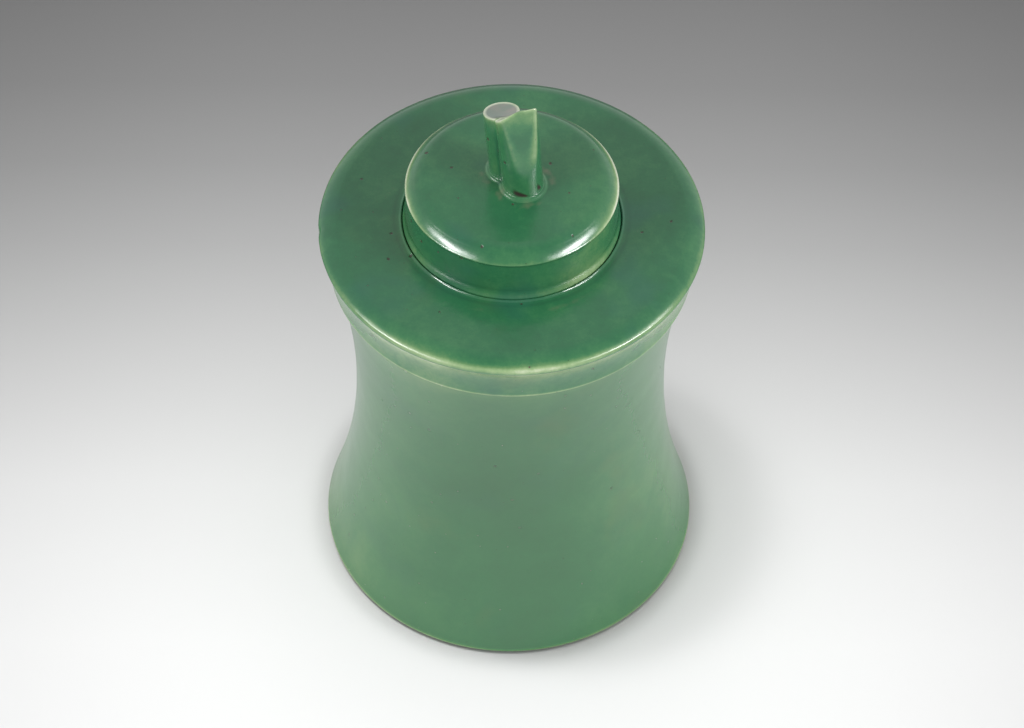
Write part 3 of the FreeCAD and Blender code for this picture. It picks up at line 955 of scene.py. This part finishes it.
def green_glaze():
    """Thick glossy lead glaze: its colour follows its thickness, which also carries painted light
    as thinner glaze and painted shade as thicker glaze.
    """
    n = Nodes("green_glaze_visual")
    # The painted thinness also holds painted highlights and reflections; the painted pooling also
    # holds painted shade.
    thin, pool = n.painted("thin"), n.painted("pool")
    stain, face, crack = n.painted("stain"), n.painted("face"), n.painted("crack")
    broad = n.noise(22, 2, 0.5)
    cloud = n.noise(7, 3, 0.55, 13, warp=0.6)
    fleck = n.noise(1.6, 3, 0.6, 29)
    grain = n.noise(0.45, 2, 0.6, 47)
    quiet = n.painted("quiet")
    lively = n.math("MULTIPLY_ADD", quiet, -0.6, 1.0)
    mottle = n.total((0.22, cloud), (0.14, fleck), (0.08, grain))
    thick = n.total(1.0, (0.24, broad), n.math("MULTIPLY", mottle, lively),
                    (-0.95, thin), (0.35, pool), (-0.07, quiet))
    colour = n.colours(thick, GLAZE_STOPS, GLAZE_SPAN)
    teal = n.ramp(n.noise(11, 2, 0.5, 61), 0.05, 0.55)
    teal = n.math("MULTIPLY", teal, lively)
    colour = n.tint(colour, teal, 0.55, TEAL)
    colour = n.tint(colour, quiet, 0.22, LEAF)
    olive = n.ramp(n.noise(14, 3, 0.5, 83), 0.15, 0.6)
    colour = n.tint(colour, olive, 0.22, OLIVE)
    rust = n.ramp(n.total(stain, (0.35, n.noise(1.8, 3, 0.6, 91))), 0.25, 1.0)
    colour = n.tint(colour, rust, 0.50, RUST)
    cut_face_reflection = n.mix(n.ramp(n.noise(3.0, 2, 0.5, 5), -0.5, 0.5), *CUT_FACE_REFLECTION)
    colour = n.mix(face, colour, cut_face_reflection)
    dark, tone = n.specks(3.2, 0.11, 0.38, 0.78)
    dark = n.math("MULTIPLY", dark, n.math("MULTIPLY_ADD", quiet, -0.55, 1.0))
    speck_tone = n.mix(tone, *SPECK)
    colour = n.tint(colour, dark, 0.85, speck_tone)
    dust, _ = n.specks(1.5, 0.05, 0.13, 0.6, 7.0)
    colour = n.tint(colour, dust, 0.55, DUST)
    colour = n.mix(crack, colour, CRACK)
    n.join(colour, n.shader.inputs["Base Color"])
    smear = n.noise(9, 3, 0.5, 17)
    rough = n.total(0.205, (0.03, smear), (0.20, dark), (0.4, crack))
    n.join(rough, n.shader.inputs["Roughness"])
    n.shader.inputs["IOR"].default_value = 1.7
    peel = n.total((0.020, n.noise(3.4, 2, 0.5, 3)), (0.0035, n.noise(0.8, 2, 0.5, 8)),
                   (-0.05, dark), (-0.08, crack))
    n.join(n.bump(peel), n.shader.inputs["Normal"])
    return n.material


# The cup's glaze from thin to pooled, the ink that has stood in it, its level, and dust in it.
CELADON_STOPS = ((0.0, (0.62, 0.60, 0.47)), (0.5, (0.47, 0.52, 0.40)), (1.0, (0.33, 0.43, 0.33)))
INK = (0.045, 0.048, 0.060)
TIDE_Z = CUP_BOTTOM_Z + 14.8
BROWN_DUST = (0.12, 0.09, 0.05)


def pale_glaze():
    """Thin pale celadon glaze with a faint tide line of old ink."""
    n = Nodes("pale_glaze_visual")
    thin, pool = n.painted("thin"), n.painted("pool")
    cloud = n.noise(6, 3, 0.5, 3)
    thick = n.total(0.5, (0.2, cloud), (-0.5, thin), (0.4, pool))
    colour = n.colours(thick, CELADON_STOPS)
    level = n.total(n.height(), (1.2, n.noise(5, 3, 0.5, 11)))
    band = n.math("MULTIPLY", n.ramp(level, TIDE_Z + 1.2, TIDE_Z + 0.2),
                  n.ramp(level, TIDE_Z - 3.3, TIDE_Z))
    inked = n.ramp(n.total(band, (0.35, n.noise(2.2, 4, 0.6, 23))), 0.45, 1.1)
    colour = n.tint(colour, inked, 0.4, INK)
    dust, _ = n.specks(2.4, 0.06, 0.16, 0.2, 5.0)
    colour = n.tint(colour, dust, 0.7, BROWN_DUST)
    n.join(colour, n.shader.inputs["Base Color"])
    n.join(n.total(0.14, (0.04, n.noise(5, 3, 0.5, 31))), n.shader.inputs["Roughness"])
    n.join(n.bump(n.total((0.02, n.noise(2.8, 2, 0.5, 7)))), n.shader.inputs["Normal"])
    return n.material


# Bare clay from dark to pale, and its iron spots.
CLAY_STOPS = ((0.0, (0.23, 0.145, 0.085)), (0.45, (0.42, 0.31, 0.205)), (1.0, (0.56, 0.46, 0.34)))
IRON = (0.07, 0.03, 0.015)


def bare_clay():
    """Fired stoneware left bare: warm buff, gritty, with iron spots."""
    n = Nodes("bare_clay_visual")
    tone = n.total(0.5, (0.25, n.noise(9, 3, 0.55)), (0.22, n.noise(0.9, 3, 0.6, 19)))
    colour = n.colours(tone, CLAY_STOPS)
    iron, _ = n.specks(1.5, 0.06, 0.18, 0.3, 3.0)
    colour = n.tint(colour, iron, 0.8, IRON)
    n.join(colour, n.shader.inputs["Base Color"])
    n.join(n.total(0.82, (0.08, n.noise(1.2, 2, 0.5, 3))), n.shader.inputs["Roughness"])
    grit = n.total((0.05, n.noise(0.5, 3, 0.65, 9)), (0.06, n.noise(2.0, 2, 0.5, 14)),
                   (-0.05, iron))
    n.join(n.bump(grit), n.shader.inputs["Normal"])
    return n.material


GREEN = green_glaze()
PALE = pale_glaze()
CLAY = bare_clay()

body_wall()
body_floor()
shoulder_plate()
mouth_collar()
ink_cup()
lid_cap()
lid_locating_ring()
knob()


# ---- studio -----------------------------------------------------------------------------------

# The floor's grey, painted darker as shade, from FLOOR_FRONT mm to FLOOR_DEPTH mm behind that; its
# share of reflected light; how much darker it is painted at the sides as shade and where that
# begins and ends in mm; and a faint glow.
FLOOR_SHADE_STOPS = (
    (0.00, 0.95), (0.12, 0.93), (0.188, 0.91), (0.26, 0.90), (0.336, 0.85), (0.416, 0.78),
    (0.50, 0.66), (0.588, 0.54), (0.68, 0.42), (0.776, 0.32), (0.876, 0.25), (1.00, 0.20),
)
FLOOR_FRONT, FLOOR_DEPTH = -100, 250
FLOOR_DIFFUSE = 0.83
FLOOR_SIDE_SHADE = 0.17
FLOOR_SHADE_SIDES = (45, 150)
FLOOR_GLOW = 0.05
# Half the floor's width in metres, and how many squares it has along each side.
FLOOR_HALF = 0.7
FLOOR_SQUARES = 24


def greys(stops):
    """Stops of a colour ramp from stops of grey."""
    return [(place_at, (value, value, value)) for place_at, value in stops]


def floor():
    """Plain pale floor with painted shade: it falls away to a darker grey behind the object and
    darkens at the sides.
    """
    mesh = bpy.data.meshes.new("floor")
    row = FLOOR_SQUARES + 1
    ticks = [FLOOR_HALF * (2 * i / FLOOR_SQUARES - 1) for i in range(row)]
    verts = [(x, y, 0) for y in ticks for x in ticks]
    faces = [(j * row + i, j * row + i + 1, (j + 1) * row + i + 1, (j + 1) * row + i)
             for j in range(FLOOR_SQUARES) for i in range(FLOOR_SQUARES)]
    mesh.from_pydata(verts, [], faces)
    obj = bpy.data.objects.new("floor", mesh)
    bpy.context.scene.collection.objects.link(obj)
    obj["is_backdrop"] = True
    n = Nodes("floor_with_painted_shade")
    part = n.add("ShaderNodeSeparateXYZ")
    n.join(n.mm, part.inputs[0])
    along = n.math("MULTIPLY_ADD", part.outputs["Y"], 1 / FLOOR_DEPTH, -FLOOR_FRONT / FLOOR_DEPTH)
    # Painted shade: the floor is darker towards the back and at the sides.
    tone = n.colours(along, greys(FLOOR_SHADE_STOPS))
    aside = n.ramp(n.math("ABSOLUTE", part.outputs["X"]), *FLOOR_SHADE_SIDES)
    shade = n.total(FLOOR_DIFFUSE, (-FLOOR_SIDE_SHADE, aside))
    n.join(n.vector("SCALE", tone, scale=shade), n.shader.inputs["Base Color"])
    n.shader.inputs["Roughness"].default_value = 1.0
    n.shader.inputs["Specular IOR Level"].default_value = 0.0
    n.join(tone, n.shader.inputs["Emission Color"])
    n.shader.inputs["Emission Strength"].default_value = FLOOR_GLOW
    mesh.materials.append(n.material)
    return obj


# A soft light is three nested lamps, each with a share of its size and a power in watts, so that
# its reflection is brighter in the middle.
LAYERS = ((1.0, 2.3), (0.62, 1.2), (0.36, 0.8))
LAYER_GAP = 0.01


def soft_light(name, azimuth, elevation, strength, lit, width, height, distance):
    """A soft light aimed at the object, for what is in one collection; azimuth as in flat()."""
    a, e = math.radians(azimuth), math.radians(elevation)
    away = Vector((math.sin(a) * math.cos(e), -math.cos(a) * math.cos(e), math.sin(e)))
    target = Vector((0, 0, 0.06))
    for layer, (share, power) in enumerate(LAYERS):
        data = bpy.data.lights.new(f"{name}_{layer}", "AREA")
        data.shape = "ELLIPSE" if layer else "RECTANGLE"
        data.size, data.size_y = width * share, height * share
        data.energy = power * strength
        lamp = bpy.data.objects.new(data.name, data)
        lamp.location = target + away * (distance - LAYER_GAP * layer)
        lamp.rotation_mode = "QUATERNION"
        lamp.rotation_quaternion = away.to_track_quat("Z", "Y")
        bpy.context.scene.collection.objects.link(lamp)
        lamp.light_linking.receiver_collection = lit


# The room's light by height, from level to straight up, and from front (-Y) to back (+Y).
ROOM_BY_HEIGHT = ((0.0, 0.85), (0.18, 0.78), (0.40, 0.62), (0.62, 0.62), (0.8, 0.55), (1.0, 0.50))
ROOM_BY_DEPTH = ((0.0, 0.35), (0.35, 0.50), (0.60, 0.90), (1.0, 1.0))


def surroundings():
    """Dim grey room, paler towards the horizon and the back."""
    world = bpy.data.worlds.new("room")
    bpy.context.scene.world = world
    world.use_nodes = True
    tree = world.node_tree
    tree.nodes.clear()
    out = tree.nodes.new("ShaderNodeOutputWorld")
    back = tree.nodes.new("ShaderNodeBackground")
    split = tree.nodes.new("ShaderNodeSeparateXYZ")
    where = tree.nodes.new("ShaderNodeTexCoord")
    by_height = tree.nodes.new("ShaderNodeValToRGB")
    tree.links.new(where.outputs["Generated"], split.inputs[0])
    tree.links.new(split.outputs["Z"], by_height.inputs[0])
    tree.links.new(by_height.outputs["Color"], back.inputs["Color"])
    tree.links.new(back.outputs[0], out.inputs["Surface"])
    by_depth = tree.nodes.new("ShaderNodeValToRGB")
    depth = tree.nodes.new("ShaderNodeMath")
    depth.operation = "MULTIPLY_ADD"
    depth.inputs[1].default_value = depth.inputs[2].default_value = 0.5
    tree.links.new(split.outputs["Y"], depth.inputs[0])
    tree.links.new(depth.outputs[0], by_depth.inputs[0])
    tree.links.new(by_depth.outputs["Color"], back.inputs["Strength"])
    fill_ramp(by_height, greys(ROOM_BY_HEIGHT))
    fill_ramp(by_depth, greys(ROOM_BY_DEPTH))


def camera():
    """The photograph's view: a long lens looking down at the front."""
    elevation = math.radians(50.91)
    roll = math.radians(0.61)
    aim = Vector((0.34, -19.66, 69.0)) * MM
    distance = 514.6 * MM
    data = bpy.data.cameras.new("camera")
    data.lens = 100
    data.sensor_width = 36
    data.clip_start = 0.01
    view = bpy.data.objects.new("camera", data)
    back = Vector((0, -math.cos(elevation), math.sin(elevation)))
    right = Vector((1, 0, 0))
    up = back.cross(right)
    turn = Matrix((right, up, back)).transposed().to_4x4() @ Matrix.Rotation(roll, 4, "Z")
    view.matrix_world = Matrix.Translation(aim + back * distance) @ turn
    bpy.context.scene.collection.objects.link(view)
    bpy.context.scene.camera = view


ground = floor()
on_object = bpy.data.collections.new("lit_by_the_softboxes")
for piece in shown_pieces():
    on_object.objects.link(piece)
on_floor = bpy.data.collections.new("lit_by_the_overhead")
on_floor.objects.link(ground)
# Azimuth and elevation in degrees, strength, what is lit, then width, height and distance in m.
soft_light("softbox_left", -62, 30, 1.46, on_object, 0.78, 0.20, 0.95)
soft_light("softbox_right", 64, 30, 1.68, on_object, 0.78, 0.20, 0.95)
soft_light("floor_key", -98, 80.5, 0.80, on_floor, 0.14, 0.26, 1.0)
soft_light("floor_sky", 0, 90, 1.00, on_floor, 1.9, 1.9, 1.1)
soft_light("floor_top", 0, 90, 0.60, on_floor, 0.07, 0.07, 0.78)
surroundings()
camera()

settings = bpy.context.scene.view_settings
settings.view_transform = "Standard"
settings.look = "None"
